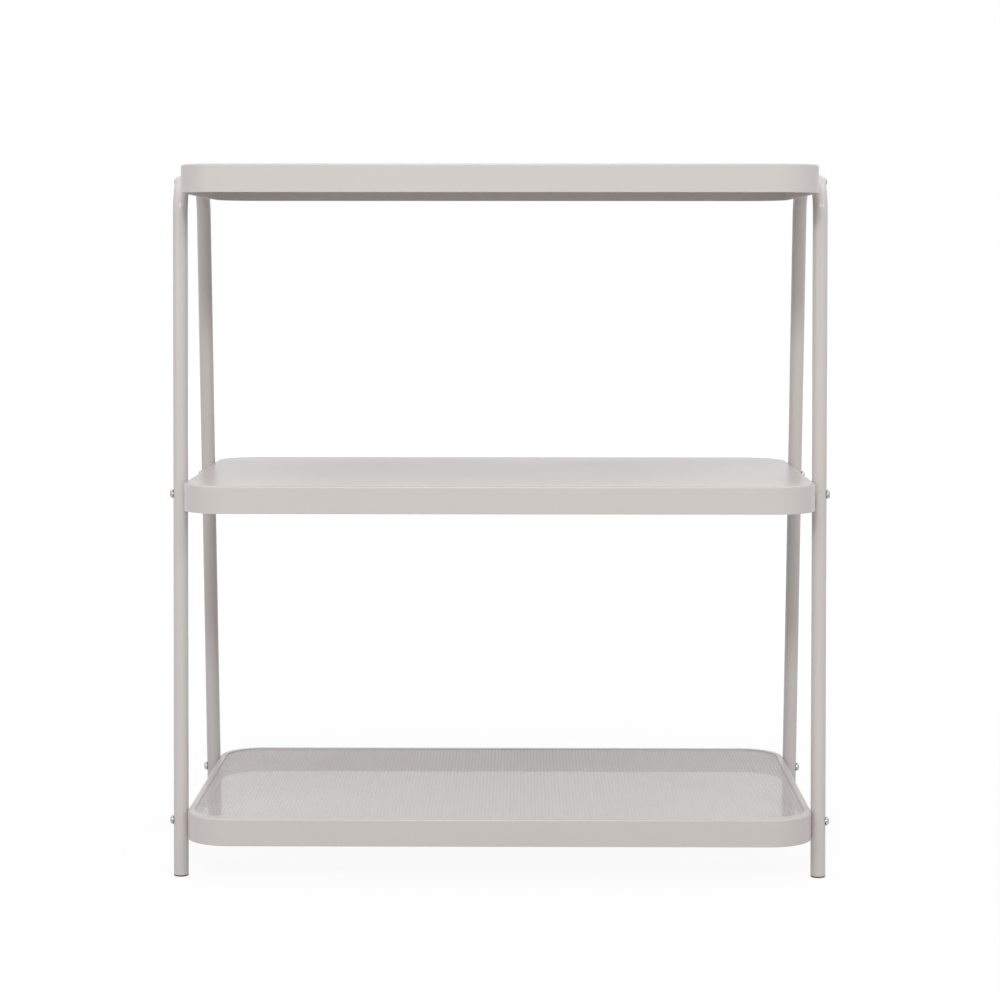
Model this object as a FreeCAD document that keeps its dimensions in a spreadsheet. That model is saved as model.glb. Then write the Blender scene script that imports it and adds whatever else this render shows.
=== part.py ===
import FreeCAD, Part
import os

import Sketcher

# Three-tier steel shelf, in millimetres. Two bent tube frames carry three pressed shelves.
# The origin is on the floor under the middle of the shelves: +X right, +Y to the back, +Z up.

doc = FreeCAD.newDocument("ThreeTierShelf")

# Driving sizes
sizeValues = {
    "shelfWidth": 669.5,        # outside, from side to side
    "shelfDepth": 405,          # outside, from front to back
    "shelfCornerRadius": 48,
    "flangeHeight": 29.5,       # top face to the lower edge of the turned-down flange
    "topShelfHeight": 760,      # floor to the top face
    "middleShelfHeight": 425.5,
    "bottomShelfHeight": 72.5,
    "sheetThickness": 1,
    "sheetBendRadius": 2,       # outside radius where the flange turns down
    "lipWidth": 7,              # folded top of the bottom shelf at its sides and back
    "frontLipWidth": 14,        # the same fold along its front
    "meshThickness": 1,
    "meshEdgeGap": 1.5,         # between the panel's edge and the flange around it
    "meshLongPitch": 56,        # from opening to opening across the shelf
    "meshShortPitch": 28,       # from opening to opening towards the back
    "meshStrandWidth": 7,
    "meshLipClearance": 2,      # between an opening and the lip over it
    "tubeDiameter": 16,
    "tubeWall": 1.2,
    "tubeBendRadius": 35,       # of the tube's axis
    "footInset": 0.5,           # leg axis at the floor, in from where the shelf corners begin
    "topInset": 53.5,           # the same at the height of the top run
    "panScrewDrop": 15,         # top face to screw axis on the top and middle shelves
    "meshScrewDrop": 12.5,      # top face to screw axis on the bottom shelf
    "topScrewInset": 39,        # leg axis at the top run to the screw in that run
    "screwHoleDiameter": 5.5,
    "screwDiameter": 5,
    "screwLength": 25,          # under the head
    "screwTipChamfer": 0.8,
    "screwHeadDiameter": 9.5,
    "screwHeadHeight": 3.7,
    "screwHeadRounding": 2.4,
    "recessLength": 5,
    "recessWidth": 1.2,
    "recessDepth": 1.8,
    "nutAcrossFlats": 8,
    "nutHeight": 4,
    "nutThreadClearance": 0.1,  # on the diameter
    "nutBoreChamfer": 0.4,
    "plugFlangeThickness": 2,
    "plugStemLength": 16,
    "plugStemClearance": 0.3,   # on the diameter, inside the tube
    "plugEdgeRounding": 0.6,
    "cutOverrun": 5,            # how far a cutting shape runs past what it cuts
}

sheet = doc.addObject("Spreadsheet::Sheet", "sizes")
for row, (sizeName, sizeValue) in enumerate(sizeValues.items(), start=1):
    sheet.set(f"A{row}", sizeName)
    sheet.set(f"B{row}", str(sizeValue))
    sheet.setAlias(f"B{row}", sizeName)
doc.recompute()

# Places that several pieces share, worked out from the driving sizes
topRunHeight = "(sizes.topShelfHeight - sizes.panScrewDrop)"
middleScrewHeight = "(sizes.middleShelfHeight - sizes.panScrewDrop)"
bottomScrewHeight = "(sizes.bottomShelfHeight - sizes.meshScrewDrop)"
tubeBore = "(sizes.tubeDiameter - 2 * sizes.tubeWall)"
frameReach = "((sizes.shelfWidth + sizes.tubeDiameter) / 2)"
straightReach = "(sizes.shelfDepth / 2 - sizes.shelfCornerRadius)"
footReach = f"({straightReach} - sizes.footInset)"
topReach = f"({straightReach} - sizes.topInset)"


def legReach(height):
    """Distance of a leg's axis from the middle plane, at a height over the floor."""
    lean = f"({footReach} - {topReach}) * {height} / {topRunHeight}"
    return f"({footReach} - {lean})"


tierNames = ("top", "middle", "bottom")
shelfHeights = {
    "top": "sizes.topShelfHeight",
    "middle": "sizes.middleShelfHeight",
    "bottom": "sizes.bottomShelfHeight",
}
screwHeights = {
    "top": topRunHeight,
    "middle": middleScrewHeight,
    "bottom": bottomScrewHeight,
}
screwReaches = {
    "top": f"({topReach} - sizes.topScrewInset)",
    "middle": legReach(middleScrewHeight),
    "bottom": legReach(bottomScrewHeight),
}
sideSigns = {"left": -1, "right": 1}
endSigns = {"front": -1, "rear": 1}


# Helpers
pickTolerance = 1e-4    # how near an edge lies to the place that it is picked by
alongShare = 0.999      # how nearly an edge or face lines up with the direction it is picked by


def valueOf(expression):
    """The number that an expression of the sheet's sizes has now."""
    answer = sheet.evalExpression(expression.replace("sizes.", ""))
    return float(getattr(answer, "Value", answer))


def bind(thing, propertyPath, expression):
    thing.setExpression(propertyPath, expression)


def newBody(name):
    body = doc.addObject("PartDesign::Body", name)
    body.Label = name
    return body


def newSketch(body, name, planeRole, offset=None):
    """A sketch on one of the body's own origin planes, moved along its normal if asked."""
    sketch = body.newObject("Sketcher::SketchObject", name)
    plane = [item for item in body.Origin.OriginFeatures if item.Role == planeRole][0]
    sketch.AttachmentSupport = [(plane, "")]
    sketch.MapMode = "FlatFace"
    if offset:
        bind(sketch, "AttachmentOffset.Base.z", offset)
    return sketch


def newFeature(body, kind, name, profile=None):
    feature = body.newObject(f"PartDesign::{kind}", f"{body.Name}_{name}")
    if profile:
        feature.Profile = profile
    return feature


def boundDatum(sketch, kind, references, expression):
    index = sketch.addConstraint(Sketcher.Constraint(kind, *references, valueOf(expression)))
    bind(sketch, f"Constraints[{index}]", expression)


def placePoint(sketch, geometry, point, across, up):
    """Fixes a sketch point at two coordinates, each an expression, or None for the axis."""
    if across is None:
        sketch.addConstraint(Sketcher.Constraint("PointOnObject", geometry, point, -2))
    else:
        boundDatum(sketch, "DistanceX", (-1, 1, geometry, point), across)
    if up is None:
        sketch.addConstraint(Sketcher.Constraint("PointOnObject", geometry, point, -1))
    else:
        boundDatum(sketch, "DistanceY", (-1, 1, geometry, point), up)


def addCentredRectangle(sketch, width, depth):
    halfWidth = valueOf(width) / 2
    halfDepth = valueOf(depth) / 2
    corners = [
        FreeCAD.Vector(-halfWidth, -halfDepth, 0),
        FreeCAD.Vector(halfWidth, -halfDepth, 0),
        FreeCAD.Vector(halfWidth, halfDepth, 0),
        FreeCAD.Vector(-halfWidth, halfDepth, 0),
    ]
    for index in range(4):
        sketch.addGeometry(Part.LineSegment(corners[index], corners[(index + 1) % 4]), False)
    for index in range(4):
        sketch.addConstraint(Sketcher.Constraint("Coincident", index, 2, (index + 1) % 4, 1))
        direction = "Vertical" if index % 2 else "Horizontal"
        sketch.addConstraint(Sketcher.Constraint(direction, index))
    sketch.addConstraint(Sketcher.Constraint("Symmetric", 0, 1, 1, 2, -1, 1))
    boundDatum(sketch, "DistanceX", (0, 1, 0, 2), width)
    boundDatum(sketch, "DistanceY", (1, 1, 1, 2), depth)


def addRoundedRectangle(sketch, width, depth, radius):
    """Four sides and four quarter round corners, centred on the origin."""
    halfWidth = valueOf(width) / 2
    halfDepth = valueOf(depth) / 2
    corner = valueOf(radius)
    quarter = FreeCAD.Vector(1, 0, 0).getAngle(FreeCAD.Vector(0, 1, 0))
    straightWidth = halfWidth - corner
    straightDepth = halfDepth - corner
    sides = (
        ((-straightWidth, -halfDepth), (straightWidth, -halfDepth)),
        ((halfWidth, -straightDepth), (halfWidth, straightDepth)),
        ((straightWidth, halfDepth), (-straightWidth, halfDepth)),
        ((-halfWidth, straightDepth), (-halfWidth, -straightDepth)),
    )
    centres = (
        (straightWidth, -straightDepth),
        (straightWidth, straightDepth),
        (-straightWidth, straightDepth),
        (-straightWidth, -straightDepth),
    )
    for start, finish in sides:
        sketch.addGeometry(Part.LineSegment(FreeCAD.Vector(*start, 0), FreeCAD.Vector(*finish, 0)), False)
    for index, centre in enumerate(centres):
        circle = Part.Circle(FreeCAD.Vector(*centre, 0), FreeCAD.Vector(0, 0, 1), corner)
        sketch.addGeometry(Part.ArcOfCircle(circle, (index - 1) * quarter, index * quarter), False)
    for index in range(4):
        arc = index + 4
        direction = "Vertical" if index % 2 else "Horizontal"
        sketch.addConstraint(Sketcher.Constraint(direction, index))
        sketch.addConstraint(Sketcher.Constraint("Tangent", index, 2, arc, 1))
        sketch.addConstraint(Sketcher.Constraint("Tangent", arc, 2, (index + 1) % 4, 1))
        if index:
            sketch.addConstraint(Sketcher.Constraint("Equal", 4, arc))
    sketch.addConstraint(Sketcher.Constraint("Symmetric", 4, 3, 6, 3, -1, 1))
    boundDatum(sketch, "Radius", (4,), radius)
    boundDatum(sketch, "DistanceX", (3, 1, 1, 1), width)
    boundDatum(sketch, "DistanceY", (0, 1, 2, 1), depth)


def addCircle(sketch, across, up, diameter):
    centre = FreeCAD.Vector(valueOf(across) if across else 0, valueOf(up) if up else 0, 0)
    circle = Part.Circle(centre, FreeCAD.Vector(0, 0, 1), valueOf(diameter) / 2)
    index = sketch.addGeometry(circle, False)
    boundDatum(sketch, "Diameter", (index,), diameter)
    placePoint(sketch, index, 3, across, up)
    return index


def addCirclePair(sketch, across, up, diameter):
    """Two like circles, one each side of the sketch's upright axis."""
    first = addCircle(sketch, across, up, diameter)
    centre = FreeCAD.Vector(-valueOf(across), valueOf(up), 0)
    circle = Part.Circle(centre, FreeCAD.Vector(0, 0, 1), valueOf(diameter) / 2)
    second = sketch.addGeometry(circle, False)
    sketch.addConstraint(Sketcher.Constraint("Equal", first, second))
    sketch.addConstraint(Sketcher.Constraint("Symmetric", first, 3, second, 3, -2))


def addOutline(sketch, points):
    """A closed outline of straight lines through points, each a pair of expressions or None."""
    places = []
    for across, up in points:
        places.append(FreeCAD.Vector(valueOf(across) if across else 0, valueOf(up) if up else 0, 0))
    count = len(places)
    for index in range(count):
        sketch.addGeometry(Part.LineSegment(places[index], places[(index + 1) % count]), False)
    for index in range(count):
        sketch.addConstraint(Sketcher.Constraint("Coincident", index, 2, (index + 1) % count, 1))
    for index, (across, up) in enumerate(points):
        placePoint(sketch, index, 1, across, up)


def edgesAlong(shape, direction):
    """Names of the straight edges that run along a direction."""
    names = []
    for index, edge in enumerate(shape.Edges, start=1):
        if isinstance(edge.Curve, Part.Line) and abs(edge.Curve.Direction.dot(direction)) > alongShare:
            names.append(f"Edge{index}")
    return names


def edgesAtHeight(shape, height):
    """Names of the edges that lie all in one level plane."""
    names = []
    for index, edge in enumerate(shape.Edges, start=1):
        box = edge.BoundBox
        if abs(box.ZMin - height) < pickTolerance and abs(box.ZMax - height) < pickTolerance:
            names.append(f"Edge{index}")
    return names


def faceFacing(shape, direction):
    """Name of the flat face that looks along a direction."""
    for index, face in enumerate(shape.Faces, start=1):
        if isinstance(face.Surface, Part.Plane) and face.normalAt(0, 0).dot(direction) > alongShare:
            return f"Face{index}"
    raise ValueError("no face looks that way")


# Shelves: a rounded block, its top edge rolled over, hollowed from below to the sheet's thickness
def makePan(name, tier):
    body = newBody(name)
    outline = newSketch(body, f"{name}_outline", "XY_Plane")
    addCentredRectangle(outline, "sizes.shelfWidth", "sizes.shelfDepth")
    block = newFeature(body, "Pad", "block", outline)
    bind(block, "Length", "sizes.flangeHeight")
    doc.recompute()
    corners = newFeature(body, "Fillet", "corners")
    corners.Base = (block, edgesAlong(block.Shape, FreeCAD.Vector(0, 0, 1)))
    bind(corners, "Radius", "sizes.shelfCornerRadius")
    doc.recompute()
    roll = newFeature(body, "Fillet", "roll")
    roll.Base = (corners, edgesAtHeight(corners.Shape, valueOf("sizes.flangeHeight")))
    bind(roll, "Radius", "sizes.sheetBendRadius")
    doc.recompute()
    shell = newFeature(body, "Thickness", "shell")
    shell.Base = (roll, [faceFacing(roll.Shape, FreeCAD.Vector(0, 0, -1))])
    shell.Reversed = True
    bind(shell, "Value", "sizes.sheetThickness")
    holes = newSketch(body, f"{name}_holes", "YZ_Plane")
    drop = "sizes.meshScrewDrop" if tier == "bottom" else "sizes.panScrewDrop"
    addCirclePair(holes, screwReaches[tier], f"(sizes.flangeHeight - {drop})", "sizes.screwHoleDiameter")
    drilling = newFeature(body, "Pocket", "drilling", holes)
    drilling.SideType = "Symmetric"
    drilling.Type = "ThroughAll"
    bind(body, "Placement.Base.z", f"{shelfHeights[tier]} - sizes.flangeHeight")
    doc.recompute()
    return body


makePan("top_shelf", "top")
makePan("middle_shelf", "middle")
bottomFrame = makePan("bottom_shelf_frame", "bottom")

# The bottom shelf is a pan whose top is cut away inside a narrow lip
lipOpening = newSketch(bottomFrame, "lip_opening", "XY_Plane", "sizes.flangeHeight + sizes.cutOverrun")
addRoundedRectangle(
    lipOpening,
    "sizes.shelfWidth - 2 * sizes.lipWidth",
    "sizes.shelfDepth - sizes.lipWidth - sizes.frontLipWidth",
    "sizes.shelfCornerRadius - sizes.lipWidth",
)
bind(lipOpening, "AttachmentOffset.Base.y", "(sizes.frontLipWidth - sizes.lipWidth) / 2")
opening = newFeature(bottomFrame, "Pocket", "opening", lipOpening)
bind(opening, "Length", "sizes.cutOverrun + sizes.sheetThickness * 2")
doc.recompute()


# Mesh panel: one sheet with rows of diamond openings, every second row half an opening along
def roundedOutline(width, depth, radius):
    """A closed wire round the origin: straight sides and quarter round corners."""
    block = Part.makeBox(width, depth, radius, FreeCAD.Vector(-width / 2, -depth / 2, 0))
    uprights = [edge for edge in block.Edges if abs(edge.tangentAt(edge.FirstParameter).z) > alongShare]
    rounded = block.makeFillet(radius, uprights)
    for face in rounded.Faces:
        if face.BoundBox.ZMax < radius / 2:
            return face.OuterWire
    raise ValueError("the outline has no lower face")


def makeMesh(name):
    thickness = valueOf("sizes.meshThickness")
    inset = valueOf("sizes.sheetThickness + sizes.meshEdgeGap")
    width = valueOf("sizes.shelfWidth") - 2 * inset
    depth = valueOf("sizes.shelfDepth") - 2 * inset
    outline = roundedOutline(width, depth, valueOf("sizes.shelfCornerRadius") - inset)
    longPitch = valueOf("sizes.meshLongPitch")
    shortPitch = valueOf("sizes.meshShortPitch")
    cellSide = (longPitch ** 2 + shortPitch ** 2) ** 0.5
    acrossSides = longPitch * shortPitch / cellSide
    openShare = 1 - valueOf("sizes.meshStrandWidth") / acrossSides
    halfLong = openShare * longPitch / 2
    halfShort = openShare * shortPitch / 2
    # Openings lie clear of the lip, which is wider along the front
    lipInset = valueOf("sizes.lipWidth + sizes.meshLipClearance")
    sideLimit = valueOf("sizes.shelfWidth") / 2 - lipInset
    backLimit = valueOf("sizes.shelfDepth") / 2 - lipInset
    frontLimit = -backLimit + valueOf("sizes.frontLipWidth - sizes.lipWidth")
    cornerRadius = valueOf("sizes.shelfCornerRadius") - lipInset
    rowCount = int(2 * (backLimit - frontLimit) / shortPitch)
    columnCount = int(2 * sideLimit / longPitch)
    rowMiddle = (backLimit + frontLimit) / 2
    wires = [outline]
    for row in range(-rowCount, rowCount + 1):
        for column in range(-columnCount, columnCount + 1):
            across = (column + (row % 2) / 2) * longPitch
            along = rowMiddle + row * shortPitch / 2
            points = [
                FreeCAD.Vector(across - halfLong, along, 0),
                FreeCAD.Vector(across, along - halfShort, 0),
                FreeCAD.Vector(across + halfLong, along, 0),
                FreeCAD.Vector(across, along + halfShort, 0),
            ]
            inside = True
            for point in points:
                overSide = abs(point.x) - (sideLimit - cornerRadius)
                overEnd = max(point.y - (backLimit - cornerRadius), -point.y + frontLimit + cornerRadius)
                if overSide > cornerRadius or overEnd > cornerRadius:
                    inside = False
                if overSide > 0 and overEnd > 0 and overSide ** 2 + overEnd ** 2 > cornerRadius ** 2:
                    inside = False
            if inside:
                wires.append(Part.makePolygon(points + [points[0]]))
    face = Part.Face(wires)
    face.validate()
    panel = doc.addObject("Part::Feature", name)
    panel.Label = name
    panel.Shape = face.extrude(FreeCAD.Vector(0, 0, thickness))
    panel.Placement.Base.z = valueOf("sizes.bottomShelfHeight - sizes.sheetThickness") - thickness
    print("mesh openings", len(wires) - 1)
    return panel


meshPanel = makeMesh("bottom_shelf_mesh")


# Side frames: half a bent tube from the middle of its top run down one leg, then mirrored
def makeSideFrame(name, sign):
    body = newBody(name)
    path = newSketch(body, f"{name}_path", "YZ_Plane")
    runHeight = valueOf(topRunHeight)
    radius = valueOf("sizes.tubeBendRadius")
    bendReach = valueOf(topReach)
    floorReach = valueOf(footReach)
    overrun = valueOf("sizes.cutOverrun")
    legDirection = FreeCAD.Vector(floorReach - bendReach, -runHeight, 0).normalize()
    legNormal = FreeCAD.Vector(-legDirection.y, legDirection.x, 0)
    # The bend touches the run from below and the leg from inside
    bendAcross = bendReach - radius * (1 - legNormal.y) / legNormal.x
    bendCentre = FreeCAD.Vector(bendAcross, runHeight - radius, 0)
    runEnd = bendCentre + FreeCAD.Vector(0, radius, 0)
    legStart = bendCentre + legNormal * radius
    legEnd = legStart + legDirection * ((legStart.y + overrun) / -legDirection.y)
    legAngle = legNormal.getAngle(FreeCAD.Vector(1, 0, 0))
    upAngle = FreeCAD.Vector(1, 0, 0).getAngle(FreeCAD.Vector(0, 1, 0))
    bendCircle = Part.Circle(bendCentre, FreeCAD.Vector(0, 0, 1), radius)
    path.addGeometry(Part.LineSegment(FreeCAD.Vector(0, runHeight, 0), runEnd), False)
    path.addGeometry(Part.ArcOfCircle(bendCircle, legAngle, upAngle), False)
    path.addGeometry(Part.LineSegment(legStart, legEnd), False)
    path.addGeometry(Part.Point(FreeCAD.Vector(floorReach, 0, 0)), True)
    path.addGeometry(Part.Point(FreeCAD.Vector(bendReach, runHeight, 0)), True)
    placePoint(path, 0, 1, None, topRunHeight)
    path.addConstraint(Sketcher.Constraint("Horizontal", 0))
    path.addConstraint(Sketcher.Constraint("Tangent", 0, 2, 1, 2))
    path.addConstraint(Sketcher.Constraint("Tangent", 1, 1, 2, 1))
    boundDatum(path, "Radius", (1,), "sizes.tubeBendRadius")
    placePoint(path, 3, 1, footReach, None)
    placePoint(path, 4, 1, topReach, topRunHeight)
    path.addConstraint(Sketcher.Constraint("PointOnObject", 3, 1, 2))
    path.addConstraint(Sketcher.Constraint("PointOnObject", 4, 1, 2))
    boundDatum(path, "DistanceY", (2, 2, -1, 1), "sizes.cutOverrun")
    section = newSketch(body, f"{name}_section", "XZ_Plane")
    addCircle(section, None, topRunHeight, "sizes.tubeDiameter")
    addCircle(section, None, topRunHeight, tubeBore)
    doc.recompute()
    half = newFeature(body, "AdditivePipe", "half", section)
    half.Spine = (path, [])
    doc.recompute()
    whole = newFeature(body, "Mirrored", "whole")
    whole.Originals = [half]
    whole.MirrorPlane = ([item for item in body.Origin.OriginFeatures if item.Role == "XZ_Plane"][0], [""])
    body.Tip = whole
    doc.recompute()
    # The legs are cut level just over the floor, where the plugs' flanges sit
    trimArea = newSketch(body, f"{name}_trim", "XY_Plane", "sizes.plugFlangeThickness")
    addCentredRectangle(trimArea, "sizes.tubeDiameter * 2", f"2 * {footReach} + sizes.tubeDiameter * 4")
    trim = newFeature(body, "Pocket", "trim", trimArea)
    trim.Type = "ThroughAll"
    doc.recompute()
    holes = newSketch(body, f"{name}_holes", "YZ_Plane")
    for tier in tierNames:
        addCirclePair(holes, screwReaches[tier], screwHeights[tier], "sizes.screwHoleDiameter")
    drilling = newFeature(body, "Pocket", "drilling", holes)
    drilling.SideType = "Symmetric"
    drilling.Type = "ThroughAll"
    bind(body, "Placement.Base.x", f"{sign} * {frameReach}")
    doc.recompute()
    return body


for side, sideSign in sideSigns.items():
    makeSideFrame(f"{side}_side_frame", sideSign)


# Screws: made along +X from the top of the head, then turned to enter from either side
def makeScrew(name, tier, side, end):
    body = newBody(name)
    profile = newSketch(body, f"{name}_profile", "XZ_Plane")
    headRadius = "sizes.screwHeadDiameter / 2"
    shankRadius = "sizes.screwDiameter / 2"
    tipReach = "(sizes.screwHeadHeight + sizes.screwLength)"
    addOutline(profile, [
        (None, None),
        (None, headRadius),
        ("sizes.screwHeadHeight", headRadius),
        ("sizes.screwHeadHeight", shankRadius),
        (f"{tipReach} - sizes.screwTipChamfer", shankRadius),
        (tipReach, f"{shankRadius} - sizes.screwTipChamfer"),
        (tipReach, None),
    ])
    turned = newFeature(body, "Revolution", "turned", profile)
    turned.ReferenceAxis = (profile, ["H_Axis"])
    doc.recompute()
    rim = []
    for index, edge in enumerate(turned.Shape.Edges, start=1):
        if edge.BoundBox.XMax < pickTolerance and isinstance(edge.Curve, Part.Circle):
            rim.append(f"Edge{index}")
    rounding = newFeature(body, "Fillet", "rounding")
    rounding.Base = (turned, rim)
    bind(rounding, "Radius", "sizes.screwHeadRounding")
    doc.recompute()
    slots = (
        ("upright", "sizes.recessWidth", "sizes.recessLength"),
        ("level", "sizes.recessLength", "sizes.recessWidth"),
    )
    for slotName, slotWidth, slotDepth in slots:
        slotSketch = newSketch(body, f"{name}_{slotName}", "YZ_Plane")
        addCentredRectangle(slotSketch, slotWidth, slotDepth)
        slot = newFeature(body, "Pocket", slotName, slotSketch)
        slot.Reversed = True
        bind(slot, "Length", "sizes.recessDepth")
    sign = sideSigns[side]
    headTop = f"({frameReach} + sizes.tubeDiameter / 2 + sizes.screwHeadHeight)"
    if side == "right":
        body.Placement.Rotation = FreeCAD.Rotation(FreeCAD.Vector(0, 0, 1), 180)
    bind(body, "Placement.Base.x", f"{sign} * {headTop}")
    bind(body, "Placement.Base.y", f"{endSigns[end]} * {screwReaches[tier]}")
    bind(body, "Placement.Base.z", screwHeights[tier])
    doc.recompute()
    return body


# Nuts: a hexagonal prism with a plain bore, flat against the inside of the flange
def makeNut(name, tier, side, end):
    body = newBody(name)
    prism = newFeature(body, "AdditivePrism", "prism")
    prism.Polygon = 6
    bind(prism, "Circumradius", "sizes.nutAcrossFlats / sqrt(3)")
    bind(prism, "Height", "sizes.nutHeight")
    boreSketch = newSketch(body, f"{name}_bore", "XY_Plane")
    addCircle(boreSketch, None, None, "sizes.screwDiameter + sizes.nutThreadClearance")
    bore = newFeature(body, "Pocket", "bore", boreSketch)
    bore.SideType = "Symmetric"
    bore.Type = "ThroughAll"
    doc.recompute()
    mouths = []
    for index, edge in enumerate(bore.Shape.Edges, start=1):
        if isinstance(edge.Curve, Part.Circle):
            mouths.append(f"Edge{index}")
    mouthChamfer = newFeature(body, "Chamfer", "mouths")
    mouthChamfer.Base = (bore, mouths)
    bind(mouthChamfer, "Size", "sizes.nutBoreChamfer")
    sign = sideSigns[side]
    body.Placement.Rotation = FreeCAD.Rotation(FreeCAD.Vector(0, 0, 1), FreeCAD.Vector(-sign, 0, 0))
    bind(body, "Placement.Base.x", f"{sign} * (sizes.shelfWidth / 2 - sizes.sheetThickness)")
    bind(body, "Placement.Base.y", f"{endSigns[end]} * {screwReaches[tier]}")
    bind(body, "Placement.Base.z", screwHeights[tier])
    doc.recompute()
    return body


for tier in tierNames:
    for side in sideSigns:
        for end in endSigns:
            makeScrew(f"screw_{tier}_{end}_{side}", tier, side, end)
            makeNut(f"nut_{tier}_{end}_{side}", tier, side, end)


# Foot plugs: a flange on the floor and a stem up inside the leaning leg
def makeFootPlug(name, side, end):
    body = newBody(name)
    sign = endSigns[end]
    stemTop = "(sizes.plugFlangeThickness + sizes.plugStemLength)"
    levels = (
        ("floor", None, "sizes.tubeDiameter"),
        ("seat", "sizes.plugFlangeThickness", "sizes.tubeDiameter"),
        ("stem_foot", "sizes.plugFlangeThickness", f"{tubeBore} - sizes.plugStemClearance"),
        ("stem_top", stemTop, f"{tubeBore} - sizes.plugStemClearance"),
    )
    circles = {}
    for levelName, height, diameter in levels:
        level = newSketch(body, f"{name}_{levelName}", "XY_Plane", height)
        addCircle(level, None, f"{sign} * {legReach(height or 0)}", diameter)
        circles[levelName] = level
    flange = newFeature(body, "AdditiveLoft", "flange", circles["floor"])
    flange.Sections = [circles["seat"]]
    doc.recompute()
    stem = newFeature(body, "AdditiveLoft", "stem", circles["stem_foot"])
    stem.Sections = [circles["stem_top"]]
    doc.recompute()
    rounding = newFeature(body, "Fillet", "rounding")
    rounding.Base = (stem, edgesAtHeight(stem.Shape, 0) + edgesAtHeight(stem.Shape, valueOf(stemTop)))
    bind(rounding, "Radius", "sizes.plugEdgeRounding")
    bind(body, "Placement.Base.x", f"{sideSigns[side]} * {frameReach}")
    doc.recompute()
    return body


for side in sideSigns:
    for end in endSigns:
        makeFootPlug(f"foot_plug_{end}_{side}", side, end)

doc.recompute()

# Checks before anything is written
for item in doc.Objects:
    if "Invalid" in item.State or "Error" in item.State:
        raise RuntimeError(f"{item.Name} failed: {item.State}")
pieces = [item for item in doc.Objects if item.TypeId == "PartDesign::Body"] + [meshPanel]
for piece in pieces:
    shape = piece.Shape
    if shape.isNull() or not shape.isValid() or len(shape.Solids) != 1:
        raise RuntimeError(f"{piece.Label} is not one sound solid")

os.makedirs("parts", exist_ok=True)
for piece in pieces:
    piece.Shape.exportStep(os.path.join("parts", f"{piece.Label}.step"))
    print(piece.Label, round(piece.Shape.Volume, 1))
print("pieces", len(pieces))
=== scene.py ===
import bpy
import math
from mathutils import Matrix, Vector


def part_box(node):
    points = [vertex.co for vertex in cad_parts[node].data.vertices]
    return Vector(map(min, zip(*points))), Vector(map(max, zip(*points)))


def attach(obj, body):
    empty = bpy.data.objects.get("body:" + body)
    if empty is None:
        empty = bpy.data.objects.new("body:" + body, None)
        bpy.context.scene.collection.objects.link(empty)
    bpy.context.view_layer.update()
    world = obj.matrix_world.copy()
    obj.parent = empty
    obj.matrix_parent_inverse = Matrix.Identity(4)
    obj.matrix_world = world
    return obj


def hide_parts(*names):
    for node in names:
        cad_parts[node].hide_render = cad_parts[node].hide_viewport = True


# Three-tier metal shelf in metres: +X right, +Y to the back, +Z up, floor at zero
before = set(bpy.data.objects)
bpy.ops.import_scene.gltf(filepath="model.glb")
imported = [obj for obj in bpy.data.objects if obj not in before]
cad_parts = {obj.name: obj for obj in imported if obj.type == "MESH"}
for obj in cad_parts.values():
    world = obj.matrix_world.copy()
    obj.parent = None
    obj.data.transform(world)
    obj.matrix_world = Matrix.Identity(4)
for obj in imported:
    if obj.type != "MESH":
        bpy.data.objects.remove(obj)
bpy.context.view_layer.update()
tiny = 1e-5
upright = 0.99      # a face whose normal reaches this along Z is level
smoothing = {"angle": 38, "weight": 90}

tierNames = ("top", "middle", "bottom")
sideSigns = {"left": -1, "right": 1}
endSigns = {"front": -1, "rear": 1}


# Selecting and shaping
def pickFaces(piece, test):
    bpy.ops.object.mode_set(mode="OBJECT")
    clearPicks(piece.data)
    for face in piece.data.polygons:
        face.select = test(face.center, face.normal)
    bpy.context.tool_settings.mesh_select_mode = (False, False, True)
    bpy.ops.object.mode_set(mode="EDIT")


def pickEdges(piece, test):
    bpy.ops.object.mode_set(mode="OBJECT")
    mesh = piece.data
    clearPicks(mesh)
    for edge in mesh.edges:
        start, end = (mesh.vertices[index].co for index in edge.vertices)
        edge.select = test(start, end)
    bpy.context.tool_settings.mesh_select_mode = (False, True, False)
    bpy.ops.object.mode_set(mode="EDIT")


def pickPoints(piece, test):
    bpy.ops.object.mode_set(mode="OBJECT")
    clearPicks(piece.data)
    for point in piece.data.vertices:
        point.select = test(point.co)
    bpy.context.tool_settings.mesh_select_mode = (True, False, False)
    bpy.ops.object.mode_set(mode="EDIT")


def clearPicks(mesh):
    for items in (mesh.vertices, mesh.edges, mesh.polygons):
        items.foreach_set("select", [False] * len(items))


def pickAll(piece):
    pickPoints(piece, lambda place: True)


def settle(name):
    # A fresh primitive gets its name and has its place put into its mesh
    bpy.ops.object.transform_apply(location=True, rotation=True, scale=True)
    piece = bpy.context.object
    piece.name = name
    return piece


def addBox(name, low, high):
    bpy.ops.object.select_all(action="DESELECT")
    centre = [(a + b) / 2 for a, b in zip(low, high)]
    size = [b - a for a, b in zip(low, high)]
    bpy.ops.mesh.primitive_cube_add(size=1, location=centre, scale=size)
    return settle(name)


def addCylinder(name, radius, start, end, corners):
    bpy.ops.object.select_all(action="DESELECT")
    axis = Vector(end) - Vector(start)
    aimed = axis.to_track_quat("Z", "Y").to_euler()
    bpy.ops.mesh.primitive_cylinder_add(
        vertices=corners,
        radius=radius,
        depth=axis.length,
        location=(Vector(start) + Vector(end)) / 2,
        rotation=aimed,
    )
    return settle(name)


def shape(piece, kind, **settings):
    modifier = piece.modifiers.new(kind.lower(), kind)
    for name, value in settings.items():
        setattr(modifier, name, value)
    bpy.context.view_layer.objects.active = piece
    bpy.ops.object.mode_set(mode="OBJECT")
    bpy.ops.object.modifier_apply(modifier=modifier.name)


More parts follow.
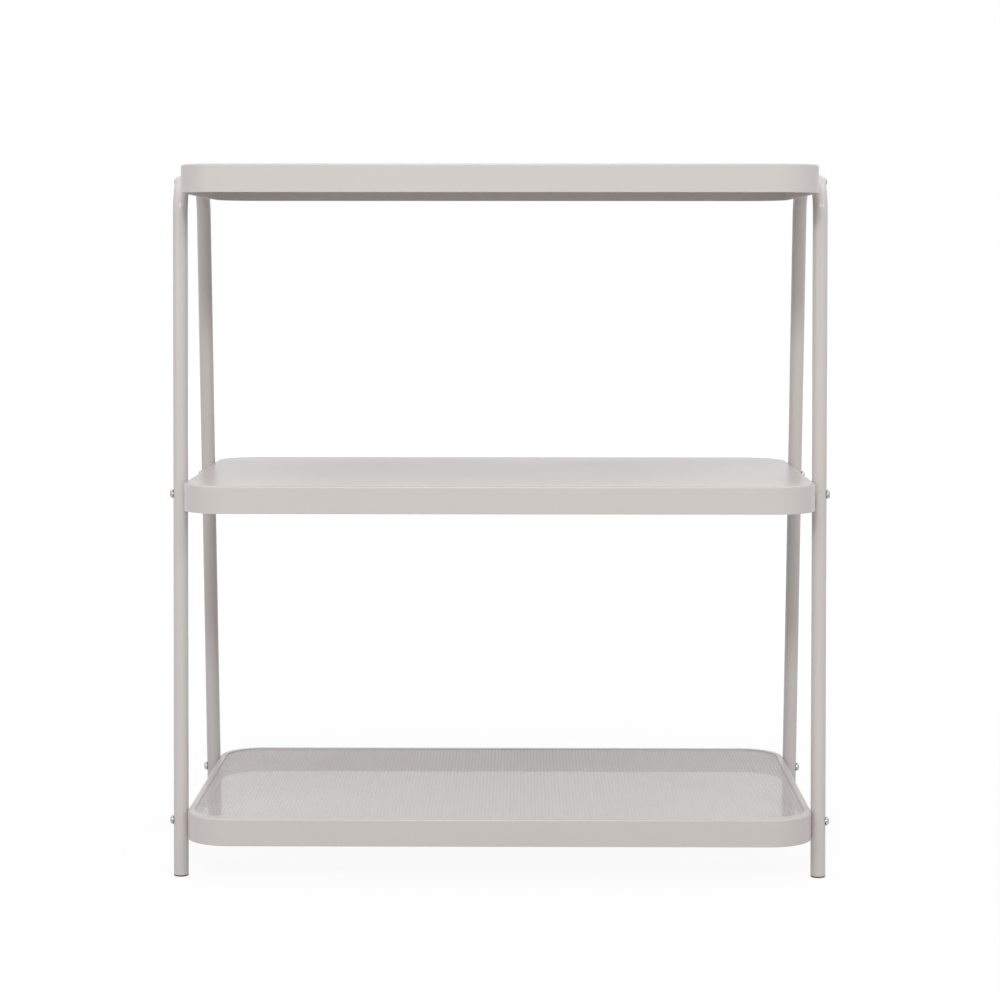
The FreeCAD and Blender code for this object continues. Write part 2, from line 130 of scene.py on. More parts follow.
def cut(piece, tool, operation="DIFFERENCE"):
    bpy.ops.object.mode_set(mode="OBJECT")
    shape(piece, "BOOLEAN", object=tool, operation=operation, solver="EXACT")
    bpy.data.objects.remove(tool)


def recalculate(piece):
    pickAll(piece)
    bpy.ops.mesh.remove_doubles(threshold=tiny)
    bpy.ops.mesh.select_all(action="SELECT")
    bpy.ops.mesh.normals_make_consistent(inside=False)
    bpy.ops.object.mode_set(mode="OBJECT")


def smooth(piece, degrees=smoothing["angle"]):
    bpy.ops.object.mode_set(mode="OBJECT")
    bpy.ops.object.select_all(action="DESELECT")
    piece.select_set(True)
    bpy.context.view_layer.objects.active = piece
    bpy.ops.object.shade_smooth_by_angle(angle=math.radians(degrees))
    shape(piece, "WEIGHTED_NORMAL", keep_sharp=True, weight=smoothing["weight"])


def copyOf(piece, name, matrix):
    copy = piece.copy()
    copy.data = piece.data.copy()
    copy.name = name
    copy.data.name = name
    copy.data.transform(matrix)
    bpy.context.scene.collection.objects.link(copy)
    return copy


def finishPiece(piece, slotName, material, *nodes):
    piece.data.materials.clear()
    piece.data.materials.append(material)
    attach(piece, "root")
    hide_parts(*nodes)


# A turned piece: rings of (radius, height), each pushed out of the last, closed at both ends.
# Lean is how far its axis drifts backwards for each metre of height.
def turn(name, rings, corners, lean=0):
    firstRadius, firstHeight = rings[0]
    bpy.ops.object.select_all(action="DESELECT")
    bpy.ops.mesh.primitive_circle_add(
        vertices=corners,
        radius=firstRadius,
        fill_type="NOTHING",
        location=(0, lean * firstHeight, firstHeight),
    )
    piece = settle(name)
    bpy.ops.object.mode_set(mode="EDIT")
    bpy.ops.mesh.select_all(action="SELECT")
    bpy.ops.mesh.edge_face_add()
    radius, height = firstRadius, firstHeight
    for nextRadius, nextHeight in rings[1:]:
        rise = nextHeight - height
        bpy.ops.mesh.extrude_region_move(TRANSFORM_OT_translate={"value": (0, lean * rise, rise)})
        share = nextRadius / radius
        centre = (0, lean * nextHeight, nextHeight)
        bpy.ops.transform.resize(value=(share, share, 1), center_override=centre)
        radius, height = nextRadius, nextHeight
    recalculate(piece)
    return piece


# Shader groups
def feed(tree, value, socket):
    if isinstance(value, bpy.types.NodeSocket):
        tree.links.new(value, socket)
    else:
        socket.default_value = value


def newGroup(name, inputs, outputs):
    group = bpy.data.node_groups.new(name, "ShaderNodeTree")
    for direction, sockets in (("INPUT", inputs), ("OUTPUT", outputs)):
        for label, kind in sockets:
            group.interface.new_socket(label, in_out=direction, socket_type=kind)
    return group, group.nodes.new("NodeGroupInput"), group.nodes.new("NodeGroupOutput")


def addNoise(tree, vector, scale, detail, roughness=0.5):
    noise = tree.nodes.new("ShaderNodeTexNoise")
    feed(tree, scale, noise.inputs["Scale"])
    noise.inputs["Detail"].default_value = detail
    noise.inputs["Roughness"].default_value = roughness
    tree.links.new(vector, noise.inputs["Vector"])
    return noise.outputs["Fac"]


def addRange(tree, value, low, high, toLow, toHigh):
    spread = tree.nodes.new("ShaderNodeMapRange")
    tree.links.new(value, spread.inputs["Value"])
    for label, number in (("From Min", low), ("From Max", high), ("To Min", toLow), ("To Max", toHigh)):
        feed(tree, number, spread.inputs[label])
    return spread.outputs["Result"]


def addMath(tree, operation, first, second):
    node = tree.nodes.new("ShaderNodeMath")
    node.operation = operation
    for index, value in enumerate((first, second)):
        feed(tree, value, node.inputs[index])
    return node.outputs[0]


def addMix(tree, share, first, second):
    mix = tree.nodes.new("ShaderNodeMix")
    mix.data_type = "RGBA"
    for label, value in (("Factor_Float", share), ("A_Color", first), ("B_Color", second)):
        feed(tree, value, [item for item in mix.inputs if item.identifier == label][0])
    return [item for item in mix.outputs if item.identifier == "Result_Color"][0]


# Skin of a baked coat or a moulded surface: cloudy tone, fine specks, gloss and a peel of low bumps
skin = {
    "cloudDetail": 3.0,
    "cloudRange": (0.3, 0.7),
    "cloudShare": 0.75,     # how far the clouds go to the dark tone
    "peelDetail": 2.0,
    "peelRoughness": 0.45,
    "speckScale": 2600.0,
    "speckDetail": 1.0,
    "speckRange": (0.55, 0.75),
    "speckShare": 0.25,
    "speckHeight": 0.25,
}


def makeSkinGroup():
    group, source, sink = newGroup(
        "coatSkin",
        (
            ("Coordinates", "NodeSocketVector"),
            ("Light Tone", "NodeSocketColor"),
            ("Dark Tone", "NodeSocketColor"),
            ("Cloud Scale", "NodeSocketFloat"),
            ("Peel Scale", "NodeSocketFloat"),
            ("Least Roughness", "NodeSocketFloat"),
            ("Most Roughness", "NodeSocketFloat"),
        ),
        (("Tone", "NodeSocketColor"), ("Roughness", "NodeSocketFloat"), ("Height", "NodeSocketFloat")),
    )
    given = source.outputs
    place = given["Coordinates"]
    cloud = addNoise(group, place, given["Cloud Scale"], skin["cloudDetail"])
    peel = addNoise(group, place, given["Peel Scale"], skin["peelDetail"], skin["peelRoughness"])
    speck = addNoise(group, place, skin["speckScale"], skin["speckDetail"])
    cloudShare = addRange(group, cloud, *skin["cloudRange"], 0.0, skin["cloudShare"])
    speckShare = addRange(group, speck, *skin["speckRange"], 0.0, skin["speckShare"])
    toneShare = addMath(group, "ADD", cloudShare, speckShare)
    tone = addMix(group, toneShare, given["Light Tone"], given["Dark Tone"])
    gloss = addRange(group, cloud, *skin["cloudRange"], given["Least Roughness"], given["Most Roughness"])
    height = addMath(group, "ADD", peel, addMath(group, "MULTIPLY", speck, skin["speckHeight"]))
    group.links.new(tone, sink.inputs["Tone"])
    group.links.new(gloss, sink.inputs["Roughness"])
    group.links.new(height, sink.inputs["Height"])
    return group


skinGroup = makeSkinGroup()


def makeMaterial(values):
    material = bpy.data.materials.new(values["name"])
    material.use_nodes = True
    tree = material.node_tree
    shader = tree.nodes["Principled BSDF"]
    place = tree.nodes.new("ShaderNodeTexCoord").outputs["Object"]
    coat = tree.nodes.new("ShaderNodeGroup")
    coat.node_tree = skinGroup
    tree.links.new(place, coat.inputs["Coordinates"])
    for label in ("Light Tone", "Dark Tone"):
        coat.inputs[label].default_value = (*values[label], 1)
    for label in ("Cloud Scale", "Peel Scale", "Least Roughness", "Most Roughness"):
        coat.inputs[label].default_value = values[label]
    bump = tree.nodes.new("ShaderNodeBump")
    bump.inputs["Strength"].default_value = values["bumpStrength"]
    bump.inputs["Distance"].default_value = values["bumpDistance"]
    tree.links.new(coat.outputs["Height"], bump.inputs["Height"])
    tree.links.new(coat.outputs["Tone"], shader.inputs["Base Color"])
    tree.links.new(coat.outputs["Roughness"], shader.inputs["Roughness"])
    tree.links.new(bump.outputs["Normal"], shader.inputs["Normal"])
    shader.inputs["Metallic"].default_value = values["metallic"]
    shader.inputs["IOR"].default_value = values["ior"]
    shader.inputs["Specular IOR Level"].default_value = values["specular"]
    return material


powderCoat = {
    "Light Tone": (0.633, 0.590, 0.569),
    "Dark Tone": (0.608, 0.566, 0.546),
    "Cloud Scale": 4.0,
    "Peel Scale": 650.0,
    "Least Roughness": 0.27,
    "Most Roughness": 0.33,
    "bumpStrength": 0.35,
    "bumpDistance": 0.00003,
    "metallic": 0,
    "ior": 1.5,
    "specular": 0.4,
}
zincPlate = {
    "name": "brightZinc",
    "Light Tone": (0.62, 0.61, 0.60),
    "Dark Tone": (0.20, 0.19, 0.185),
    "Cloud Scale": 420.0,
    "Peel Scale": 2400.0,
    "Least Roughness": 0.16,
    "Most Roughness": 0.34,
    "bumpStrength": 0.3,
    "bumpDistance": 0.00001,
    "metallic": 1,
    "ior": 1.5,
    "specular": 0.5,
}
mouldedPlastic = {
    "name": "mouldedPlastic",
    "Light Tone": (0.165, 0.135, 0.125),
    "Dark Tone": (0.125, 0.105, 0.095),
    "Cloud Scale": 180.0,
    "Peel Scale": 1500.0,
    "Least Roughness": 0.5,
    "Most Roughness": 0.62,
    "bumpStrength": 0.5,
    "bumpDistance": 0.00004,
    "metallic": 0,
    "ior": 1.5,
    "specular": 0.5,
}
# The tubes are glossier than the sheets, and the mesh has a finer peel
glossyCoat = {"Cloud Scale": 9.0, "Least Roughness": 0.15, "Most Roughness": 0.19}
sheetCoat = makeMaterial({**powderCoat, "name": "sheetPowderCoat"})
tubeCoat = makeMaterial({**powderCoat, **glossyCoat, "name": "tubePowderCoat"})
meshCoat = makeMaterial({**powderCoat, "name": "meshPowderCoat", "Peel Scale": 1400.0})
zinc = makeMaterial(zincPlate)
plastic = makeMaterial(mouldedPlastic)
print("materials made")

# Side frames: a ring pushed along half the top run, spun round the bend, pushed down the leg and mirrored
frameTube = {
    "radius": 0.008,
    "wall": 0.0012,
    "corners": 48,
    "bendRadius": 0.035,
    "bendSteps": 18,
    "runHeight": 0.745,
    "topReach": 0.101,      # leg axis from the middle plane, at the height of the run
    "footReach": 0.154,     # the same at the floor
    "plugSeat": 0.002,      # where the legs end over the floor
    "axis": 0.34275,        # from the middle of the shelf out to the tubes
    "holeRadius": 0.00275,
    "holeCorners": 24,
    "holeMargin": 0.0065,   # rings either side of a hole keep its cut local
    "runSlack": 1.1,        # in tube radii, to pick the faces of the top run
    "overrun": 0.02,        # leg below the floor, before it is cut off
}
screwPlaces = {
    "top": {"height": 0.745, "reach": 0.062},
    "middle": {"height": 0.4105},
    "bottom": {"height": 0.060},
}


def legReach(height):
    lean = (frameTube["footReach"] - frameTube["topReach"]) * height / frameTube["runHeight"]
    return frameTube["footReach"] - lean


for tier in ("middle", "bottom"):
    screwPlaces[tier]["reach"] = legReach(screwPlaces[tier]["height"])


def ringCut(place, normal, **clear):
    bpy.ops.mesh.select_all(action="SELECT")
    bpy.ops.mesh.bisect(plane_co=place, plane_no=normal, use_fill=False, **clear)


def drillHoles(piece, nearX, farX, place):
    # For the front and the rear screw of one shelf
    for end in endSigns.values():
        start = (nearX, end * place["reach"], place["height"])
        stop = (farX, end * place["reach"], place["height"])
        drill = addCylinder("hole_cutter", frameTube["holeRadius"], start, stop, frameTube["holeCorners"])
        cut(piece, drill)


def bendFrame(name, sign):
    radius = frameTube["radius"]
    bend = frameTube["bendRadius"]
    runHeight = frameTube["runHeight"]
    across = sign * frameTube["axis"]
    leg = Vector((0, frameTube["footReach"] - frameTube["topReach"], -runHeight)).normalized()
    legNormal = Vector((0, -leg.z, leg.y))
    centreReach = frameTube["topReach"] - bend * (1 - legNormal.z) / legNormal.y
    centre = Vector((across, centreReach, runHeight - bend))
    bpy.ops.object.select_all(action="DESELECT")
    bpy.ops.mesh.primitive_circle_add(
        vertices=frameTube["corners"],
        radius=radius,
        fill_type="NOTHING",
        location=(across, 0, runHeight),
        rotation=(math.pi / 2, 0, 0),
    )
    piece = settle(name)
    pickAll(piece)
    bpy.ops.mesh.extrude_region_move(TRANSFORM_OT_translate={"value": (0, centreReach, 0)})
    bendAngle = math.atan2(legNormal.y, legNormal.z)
    bpy.ops.mesh.spin(steps=frameTube["bendSteps"], angle=bendAngle, center=centre, axis=(1, 0, 0))
    legStart = centre + legNormal * bend
    legLength = (legStart.z + frameTube["overrun"]) / -leg.z
    bpy.ops.mesh.extrude_region_move(TRANSFORM_OT_translate={"value": leg * legLength})
    ringCut((0, 0, frameTube["plugSeat"]), (0, 0, 1), clear_inner=True)
    margin = frameTube["holeMargin"]
    for tier in ("middle", "bottom"):
        for step in (-margin, margin):
            ringCut((0, 0, screwPlaces[tier]["height"] + step), (0, 0, 1))
    # Only the run's faces are cut here, and a ring that would fall in the bend is left out
    runFloor = runHeight - radius * frameTube["runSlack"]
    for step in (-margin, margin):
        ringPlace = screwPlaces["top"]["reach"] + step
        if ringPlace < centreReach:
            pickFaces(piece, lambda place, normal: place.z > runFloor and place.y < centreReach)
            bpy.ops.mesh.bisect(plane_co=(0, ringPlace, 0), plane_no=(0, 1, 0), use_fill=False)
    bpy.ops.object.mode_set(mode="OBJECT")
    shape(piece, "MIRROR", use_axis=(False, True, False), merge_threshold=tiny)
    recalculate(piece)
    shape(piece, "SOLIDIFY", thickness=frameTube["wall"], offset=-1, use_even_offset=True)
    for place in screwPlaces.values():
        drillHoles(piece, across - radius * 2, across + radius * 2, place)
    smooth(piece)
    return piece


for side, sideSign in sideSigns.items():
    tube = bendFrame(f"{side}_bent_tube", sideSign)
    finishPiece(tube, "powder_coated_tube", tubeCoat, f"{side}_side_frame")
print("side frames bent")

# Shelves: a block with rounded corners and a rolled top edge, opened below and given the sheet's wall
sheetMetal = {
    "cornerRadius": 0.048,
    "cornerSteps": 18,
    "bendRadius": 0.002,
    "bendSteps": 4,
    "thickness": 0.001,
    "rimRounding": 0.0003,
    "rimAngle": 60,         # degrees, the least at which a rim is rounded
    "lip": 0.007,           # folded top of the bottom shelf at its sides and back
    "frontLip": 0.014,      # the same along its front
}
middleDepth = 0.1   # a level face further in from the outline than this is the middle of a shelf


def insetOf(place, high):
    # Distance from the outer outline of a shelf, inwards
    radius = sheetMetal["cornerRadius"]
    overSide = abs(place.x) - (high.x - radius)
    overEnd = abs(place.y) - (high.y - radius)
    outside = math.hypot(max(overSide, 0), max(overEnd, 0))
    return radius - outside - min(max(overSide, overEnd), 0)


def roundEdges(radius, steps):
    bpy.ops.mesh.bevel(offset=radius, segments=steps, profile=0.5, affect="EDGES", clamp_overlap=False)


def pressShelf(name, node, tier, hasLip):
    low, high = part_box(node)
    piece = addBox(name, low, high)

    def isMiddle(centre, normal):
        return normal.z > upright and insetOf(centre, high) > middleDepth

    pickEdges(piece, lambda start, end: abs(start.z - end.z) > tiny)
    roundEdges(sheetMetal["cornerRadius"], sheetMetal["cornerSteps"])
    pickFaces(piece, lambda centre, normal: normal.z < -upright)
    bpy.ops.mesh.delete(type="ONLY_FACE")
    pickEdges(piece, lambda start, end: min(start.z, end.z) > high.z - tiny)
    roundEdges(sheetMetal["bendRadius"], sheetMetal["bendSteps"])
    if hasLip:
        pickFaces(piece, isMiddle)
        bpy.ops.mesh.inset(thickness=sheetMetal["lip"] - sheetMetal["bendRadius"], use_even_offset=True)
        # The front half of the lip's inner edge moves back, for the wider front lip
        lipMiddle = (sheetMetal["lip"] + sheetMetal["bendRadius"]) / 2
        topLevel = high.z - tiny
        pickPoints(piece, lambda at: at.y < 0 and at.z > topLevel and insetOf(at, high) > lipMiddle)
        bpy.ops.transform.translate(value=(0, sheetMetal["frontLip"] - sheetMetal["lip"], 0))
        pickFaces(piece, isMiddle)
        bpy.ops.mesh.delete(type="ONLY_FACE")
    recalculate(piece)
    shape(piece, "SOLIDIFY", thickness=sheetMetal["thickness"], offset=-1, use_even_offset=True)
    shape(
        piece,
        "BEVEL",
        width=sheetMetal["rimRounding"],
        segments=2,
        limit_method="ANGLE",
        angle_limit=math.radians(sheetMetal["rimAngle"]),
    )
    reach = frameTube["axis"] + frameTube["radius"]
    drillHoles(piece, -reach, reach, screwPlaces[tier])
    smooth(piece)
    return piece


for tier in ("top", "middle"):
    pan = pressShelf(f"{tier}_pan", f"{tier}_shelf", tier, False)
    finishPiece(pan, "powder_coated_sheet", sheetCoat, f"{tier}_shelf")
ring = pressShelf("bottom_ring", "bottom_shelf_frame", "bottom", True)
finishPiece(ring, "powder_coated_sheet", sheetCoat, "bottom_shelf_frame")
print("shelves pressed")

# Mesh panel: one ring of strand round an opening, set out in rows and columns, trimmed and thickened
expandedMetal = {
    "longPitch": 0.007675,
    "shortPitch": 0.00386,
    "strand": 0.00072,
    "bond": 0.0025,         # metal between one opening and the next behind it
    "thickness": 0.00018,
    "columns": 29,          # in each of the three widths that are joined side by side
    "rows": 104,
    "cornerCuts": 6,        # straight cuts that round off each corner of the panel
    "edgeGap": 0.0015,      # from the panel's edge to the flange around it
}


def weaveStrip(name, column):
    longPitch = expandedMetal["longPitch"]
    shortPitch = expandedMetal["shortPitch"]
    columns = expandedMetal["columns"]
    rows = expandedMetal["rows"]
    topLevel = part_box("bottom_shelf_mesh")[1].z
    # Middle of the first ring. The three widths lie evenly about the middle of the shelf.
    left = (column - 1.5) * columns * longPitch + longPitch / 4
    front = -(rows - 0.5) * shortPitch / 2
    bpy.ops.object.select_all(action="DESELECT")
    bpy.ops.mesh.primitive_circle_add(
        vertices=4,
        radius=longPitch / 2,
        fill_type="NGON",
        location=(left, front, topLevel),
    )
    strip = settle(name)
    pickFaces(strip, lambda centre, normal: True)
    squash = shortPitch / longPitch
    bpy.ops.transform.resize(value=(1, squash, 1), center_override=(left, front, topLevel))
    bpy.ops.mesh.inset(thickness=expandedMetal["strand"] / 2, use_even_offset=True)
    # The opening's front and back points are cut off at the bonds
    openReach = (shortPitch - expandedMetal["bond"]) / 2
    for direction in (-1, 1):
        pickFaces(strip, lambda centre, normal: abs(centre.x - left) < tiny)
        bpy.ops.mesh.bisect(plane_co=(left, front + direction * openReach, topLevel), plane_no=(0, 1, 0))
    pickFaces(strip, lambda centre, normal: abs(centre.x - left) < tiny and abs(centre.y - front) < tiny)
    bpy.ops.mesh.delete(type="ONLY_FACE")

    # The cut off points themselves lie within the bonds and go too
    def isCutOff(place):
        reach = abs(place.y - front)
        return abs(place.x - left) < tiny and openReach + tiny < reach < shortPitch / 2 - tiny

    pickPoints(strip, isCutOff)
    bpy.ops.mesh.dissolve_verts()
    pickAll(strip)
    bpy.ops.mesh.duplicate_move(TRANSFORM_OT_translate={"value": (longPitch / 2, shortPitch / 2, 0)})
    bpy.ops.object.mode_set(mode="OBJECT")
    for count, offset in ((columns, (longPitch, 0, 0)), (rows, (0, shortPitch, 0))):
        shape(
            strip,
            "ARRAY",
            count=count,
            use_relative_offset=False,
            use_constant_offset=True,
            constant_offset_displace=offset,
        )
    recalculate(strip)
    return strip


def trimStrip(strip):
    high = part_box("bottom_shelf_mesh")[1]
    radius = sheetMetal["cornerRadius"] - expandedMetal["edgeGap"] - sheetMetal["thickness"]
    for sign in (-1, 1):
        pickAll(strip)
        bpy.ops.mesh.bisect(plane_co=(sign * high.x, 0, 0), plane_no=(sign, 0, 0), clear_outer=True)
        pickAll(strip)
        bpy.ops.mesh.bisect(plane_co=(0, sign * high.y, 0), plane_no=(0, sign, 0), clear_outer=True)
    for across in (-1, 1):
        for along in (-1, 1):
            centre = Vector((across * (high.x - radius), along * (high.y - radius), 0))

            def inCorner(place, facing):
                return (place.x - centre.x) * across > 0 and (place.y - centre.y) * along > 0

            for index in range(expandedMetal["cornerCuts"]):
                angle = (index + 0.5) / expandedMetal["cornerCuts"] * math.pi / 2
                normal = Vector((across * math.cos(angle), along * math.sin(angle), 0))
                pickFaces(strip, inCorner)
                # A width has only the corners on its own side of the shelf, the middle one none
                if any(face.select for face in strip.data.polygons):
                    rim = centre + normal * radius
                    bpy.ops.mesh.bisect(plane_co=rim, plane_no=normal, clear_outer=True)
    bpy.ops.object.mode_set(mode="OBJECT")


for column, width in enumerate(("left", "middle", "right")):
    strip = weaveStrip(f"mesh_panel_{width}", column)
    trimStrip(strip)
    shape(strip, "SOLIDIFY", thickness=expandedMetal["thickness"], offset=-1)
    finishPiece(strip, "powder_coated_mesh", meshCoat, "bottom_shelf_mesh")
    print(strip.name, sum(len(face.vertices) - 2 for face in strip.data.polygons), "triangles")
print("mesh panel made")

# Screws: a turned blank with a thread on its tip and a cross in its head
panScrew = {
    "corners": 32,
    "head": [
        (0.0012, 0.0), (0.0025, 0.00012), (0.0034, 0.0005), (0.0041, 0.0011),
        (0.00456, 0.0019), (0.00475, 0.0027), (0.00475, 0.0034), (0.0046, 0.0037),
    ],
    "headHeight": 0.0037,
    "shankRadius": 0.0025,
    "rootRadius": 0.0021,
    "threadStart": 0.0215,
    "threadPitch": 0.0008,
    "threadTurns": 8,
    "tipRadius": 0.0017,
    "length": 0.0287,
    "crossLength": 0.005,
    "crossWidth": 0.0012,
    "crossDepth": 0.0018,
    "crossTaper": 0.45,
    "sharpAngle": 30,
    "turns": (17, 64, 38, 81, 5, 52, 73, 29, 44, 12, 58, 33),   # degrees, as each was left when tightened
}


def turnScrew():
    rings = list(panScrew["head"])
    rings.append((panScrew["shankRadius"], panScrew["headHeight"]))
    rings.append((panScrew["shankRadius"], panScrew["threadStart"]))
    for index in range(panScrew["threadTurns"]):
        crest = panScrew["threadStart"] + index * panScrew["threadPitch"]
        rings.append((panScrew["rootRadius"], crest + panScrew["threadPitch"] / 2))
        rings.append((panScrew["shankRadius"], crest + panScrew["threadPitch"]))
    rings.append((panScrew["tipRadius"], panScrew["length"]))
    screw = turn("screw_blank", rings, panScrew["corners"])
    narrow = panScrew["crossWidth"] / 2
    long = panScrew["crossLength"] / 2
    depth = panScrew["crossDepth"]
    taper = panScrew["crossTaper"]
    for reachX, reachY in ((narrow, long), (long, narrow)):
        arm = addBox("cross_cutter", (-reachX, -reachY, -depth), (reachX, reachY, depth))
        pickFaces(arm, lambda centre, normal: normal.z > upright)
        bpy.ops.transform.resize(value=(taper, taper, 1), center_override=(0, 0, depth))
        cut(screw, arm)
    smooth(screw, panScrew["sharpAngle"])
    return screw


# Nuts: a hexagon with its corners turned off and a bore with open mouths
hexNut = {
    "acrossFlats": 0.008,
    "height": 0.004,
    "boreRadius": 0.00255,
    "mouthRadius": 0.00295,
    "mouthDepth": 0.0004,
    "cornerDrop": 0.0003,
    "turnedCorners": 48,
    "boreCorners": 32,
    "sharpAngle": 30,
    "turns": (8, 22, 41, 13, 55, 30, 4, 47, 19, 36, 51, 26),
}


def turnNut():
    height = hexNut["height"]
    cornerRadius = hexNut["acrossFlats"] / math.sqrt(3)
    nut = addCylinder("nut_blank", cornerRadius, (0, 0, 0), (0, 0, height), 6)
    flatRadius = hexNut["acrossFlats"] / 2
    drop = hexNut["cornerDrop"]
    clear = cornerRadius + tiny
    rings = [(flatRadius, 0), (clear, drop), (clear, height - drop), (flatRadius, height)]
    cut(nut, turn("corner_cutter", rings, hexNut["turnedCorners"]), "INTERSECT")
    mouth = hexNut["mouthDepth"]
    bore = hexNut["boreRadius"]
    wide = hexNut["mouthRadius"] + mouth
    rings = [(wide, -mouth), (bore, mouth), (bore, height - mouth), (wide, height + mouth)]
    cut(nut, turn("bore_cutter", rings, hexNut["boreCorners"]))
    smooth(nut, hexNut["sharpAngle"])
    return nut


blankScrew = turnScrew()
blankNut = turnNut()
screwOut = frameTube["axis"] + frameTube["radius"] + panScrew["headHeight"]
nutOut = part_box("nut_top_front_right")[1].x
count = 0
for tier in tierNames:
    place = screwPlaces[tier]
    for side, sideSign in sideSigns.items():
        # Turned so that the screw's length runs inwards from its side
        inwards = Matrix.Rotation(-sideSign * math.pi / 2, 4, "Y")
        for end, endSign in endSigns.items():
            spot = Vector((0, endSign * place["reach"], place["height"]))
            screwPlace = Matrix.Translation(spot + Vector((sideSign * screwOut, 0, 0)))
            screwTurn = Matrix.Rotation(math.radians(panScrew["turns"][count]), 4, "Z")
            name = f"{tier}_{end}_{side}"
            screw = copyOf(blankScrew, f"pan_head_{name}", screwPlace @ inwards @ screwTurn)
            finishPiece(screw, "zinc_fasteners", zinc, f"screw_{name}")
            nutPlace = Matrix.Translation(spot + Vector((sideSign * nutOut, 0, 0)))
            nutTurn = Matrix.Rotation(math.radians(hexNut["turns"][count]), 4, "Z")
            nut = copyOf(blankNut, f"hexagon_{name}", nutPlace @ inwards @ nutTurn)
            finishPiece(nut, "zinc_fasteners", zinc, f"nut_{name}")
            count += 1
bpy.data.objects.remove(blankScrew)
bpy.data.objects.remove(blankNut)
print("screws and nuts set")

# Foot plugs: a flange on the floor and a stem that leans with its leg
footPlug = {
    "corners": 48,
    "sharpAngle": 30,
    "rings": [
        (0.0064, 0.0), (0.0073, 0.00012), (0.0078, 0.00045), (0.008, 0.0009), (0.008, 0.00185),
        (0.00792, 0.002), (0.00665, 0.002), (0.00665, 0.0172), (0.006, 0.018),
    ],
}
for side, sideSign in sideSigns.items():
    for end, endSign in endSigns.items():
        drift = -endSign * (frameTube["footReach"] - frameTube["topReach"]) / frameTube["runHeight"]
        foot = Vector((sideSign * frameTube["axis"], endSign * frameTube["footReach"], 0))
        plug = turn(f"leg_plug_{end}_{side}", footPlug["rings"], footPlug["corners"], drift)
        plug.data.transform(Matrix.Translation(foot))
        smooth(plug, footPlug["sharpAngle"])
        finishPiece(plug, "foot_plastic", plastic, f"foot_plug_{end}_{side}")
print("foot plugs set")

# Floor, backdrop, lamps and camera
studio = {
    "floorHalf": 12.0,
    "floorTone": 0.6,
    "floorRoughness": 0.9,
    "floorSpecular": 0.1,
    "floorWhite": 1.08,         # strength of the plain white that the camera sees
    "floorShadowShare": 0.15,   # how much of the floor's lit surface it sees near the shelf
    "fadeStart": 0.7,           # from here to fadeEnd the floor goes over to plain white
    "fadeEnd": 2.2,
    "ambient": 0.47,            # the backdrop's light, though it looks white
    "lampAim": (0, 0, 0.4),
}
lamps = (
    {"name": "topLamp", "place": (0, -0.4, 2.6), "size": 2.4, "power": 14.0},
    {"name": "frontLamp", "place": (-0.1, -3.05, 2.07), "size": 0.5, "power": 35.4},
    {"name": "leftLamp", "place": (-2.4, -2.4, 1.7), "size": 1.8, "power": 12.6},
    {"name": "rightLamp", "place": (2.29, -2.14, 1.84), "size": 0.3, "power": 9.2},
    {"name": "leftHighLamp", "place": (-1.7, 0.2, 2.5), "size": 1.2, "power": 5.0},
    {"name": "rightHighLamp", "place": (1.7, 0.2, 2.5), "size": 1.2, "power": 7.0},
)
cameraPlace = {
    "place": (0.0219, -2.8891, 0.6605),
    "pitch": 0.0925,
    "yaw": 0.0078,
    "roll": 0.0005,
    "lens": 93.065,
    "sensor": 36,
}


def seenRays(tree):
    # One for camera, glossy and transmission rays
    path = tree.nodes.new("ShaderNodeLightPath")
    seen = addMath(tree, "MAXIMUM", path.outputs["Is Camera Ray"], path.outputs["Is Glossy Ray"])
    return addMath(tree, "MAXIMUM", seen, path.outputs["Is Transmission Ray"])


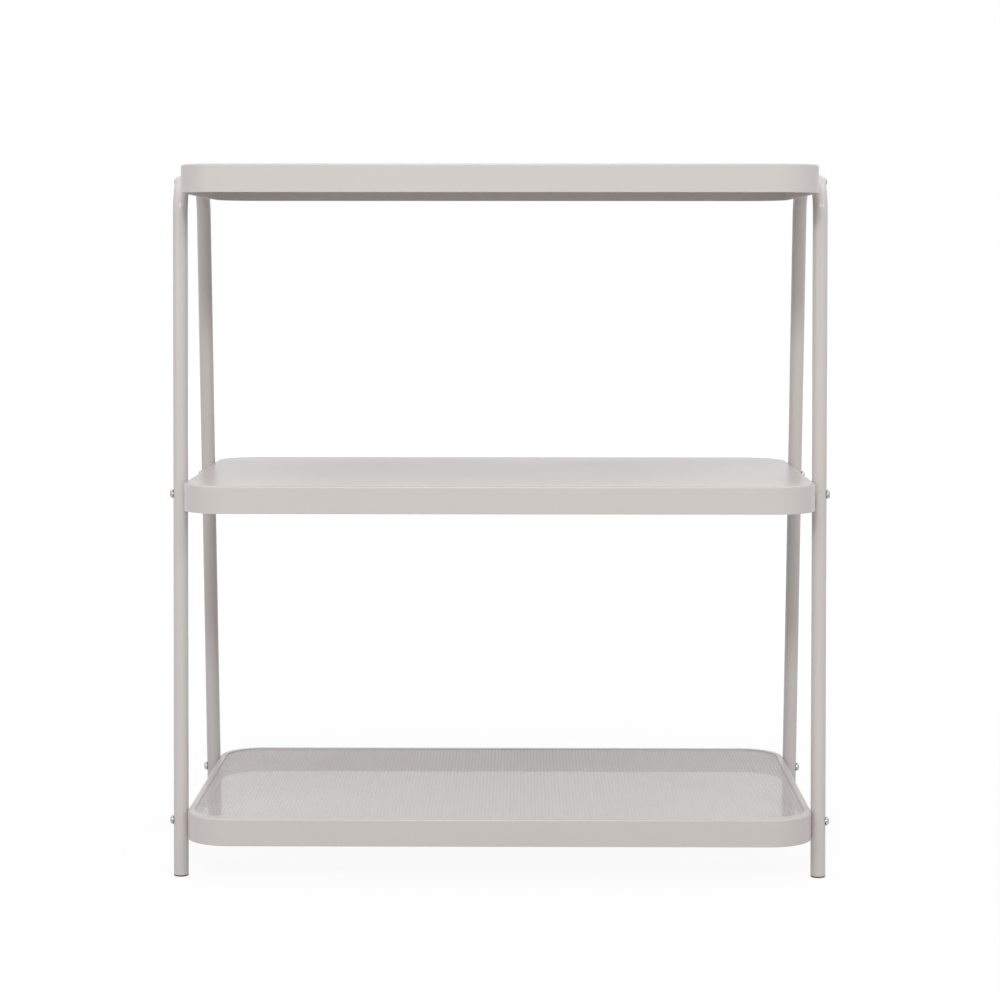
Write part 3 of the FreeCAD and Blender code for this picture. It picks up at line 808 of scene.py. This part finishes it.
def layFloor():
    bpy.ops.object.select_all(action="DESELECT")
    bpy.ops.mesh.primitive_plane_add(size=studio["floorHalf"] * 2, location=(0, 0, 0))
    floor = settle("studio_floor")
    material = bpy.data.materials.new("paleFloor")
    material.use_nodes = True
    tree = material.node_tree
    shader = tree.nodes["Principled BSDF"]
    tone = studio["floorTone"]
    shader.inputs["Base Color"].default_value = (tone, tone, tone, 1)
    shader.inputs["Roughness"].default_value = studio["floorRoughness"]
    shader.inputs["Specular IOR Level"].default_value = studio["floorSpecular"]
    white = tree.nodes.new("ShaderNodeEmission")
    white.inputs["Color"].default_value = (1, 1, 1, 1)
    white.inputs["Strength"].default_value = studio["floorWhite"]
    place = tree.nodes.new("ShaderNodeTexCoord").outputs["Object"]
    length = tree.nodes.new("ShaderNodeVectorMath")
    length.operation = "LENGTH"
    tree.links.new(place, length.inputs[0])
    reach = length.outputs["Value"]
    nearWhite = 1 - studio["floorShadowShare"]
    whiteShare = addRange(tree, reach, studio["fadeStart"], studio["fadeEnd"], nearWhite, 1.0)
    share = addMath(tree, "MULTIPLY", seenRays(tree), whiteShare)
    mix = tree.nodes.new("ShaderNodeMixShader")
    tree.links.new(share, mix.inputs[0])
    tree.links.new(shader.outputs[0], mix.inputs[1])
    tree.links.new(white.outputs[0], mix.inputs[2])
    tree.links.new(mix.outputs[0], tree.nodes["Material Output"].inputs["Surface"])
    floor.data.materials.append(material)


def lightWorld():
    world = bpy.data.worlds.new("studioWorld")
    bpy.context.scene.world = world
    world.use_nodes = True
    tree = world.node_tree
    background = tree.nodes["Background"]
    background.inputs["Color"].default_value = (1, 1, 1, 1)
    strength = addRange(tree, seenRays(tree), 0.0, 1.0, studio["ambient"], 1.0)
    tree.links.new(strength, background.inputs["Strength"])


def hangLamps():
    for values in lamps:
        light = bpy.data.lights.new(values["name"], "AREA")
        light.shape = "SQUARE"
        light.size = values["size"]
        light.energy = values["power"]
        lamp = bpy.data.objects.new(values["name"], light)
        lamp.location = values["place"]
        lamp.visible_camera = False
        aim = Vector(studio["lampAim"]) - lamp.location
        lamp.rotation_euler = aim.to_track_quat("-Z", "Y").to_euler()
        bpy.context.scene.collection.objects.link(lamp)


def placeCamera():
    camera = bpy.data.cameras.new("photoCamera")
    camera.sensor_width = cameraPlace["sensor"]
    camera.lens = cameraPlace["lens"]
    holder = bpy.data.objects.new("photoCamera", camera)
    bpy.context.scene.collection.objects.link(holder)
    yaw = Matrix.Rotation(cameraPlace["yaw"], 4, "Z")
    pitch = Matrix.Rotation(math.pi / 2 - cameraPlace["pitch"], 4, "X")
    roll = Matrix.Rotation(cameraPlace["roll"], 4, "Z")
    holder.matrix_world = Matrix.Translation(cameraPlace["place"]) @ (yaw @ pitch @ roll)
    bpy.context.scene.camera = holder


layFloor()
lightWorld()
hangLamps()
placeCamera()
bpy.context.scene.view_settings.view_transform = "Standard"
print("studio set")
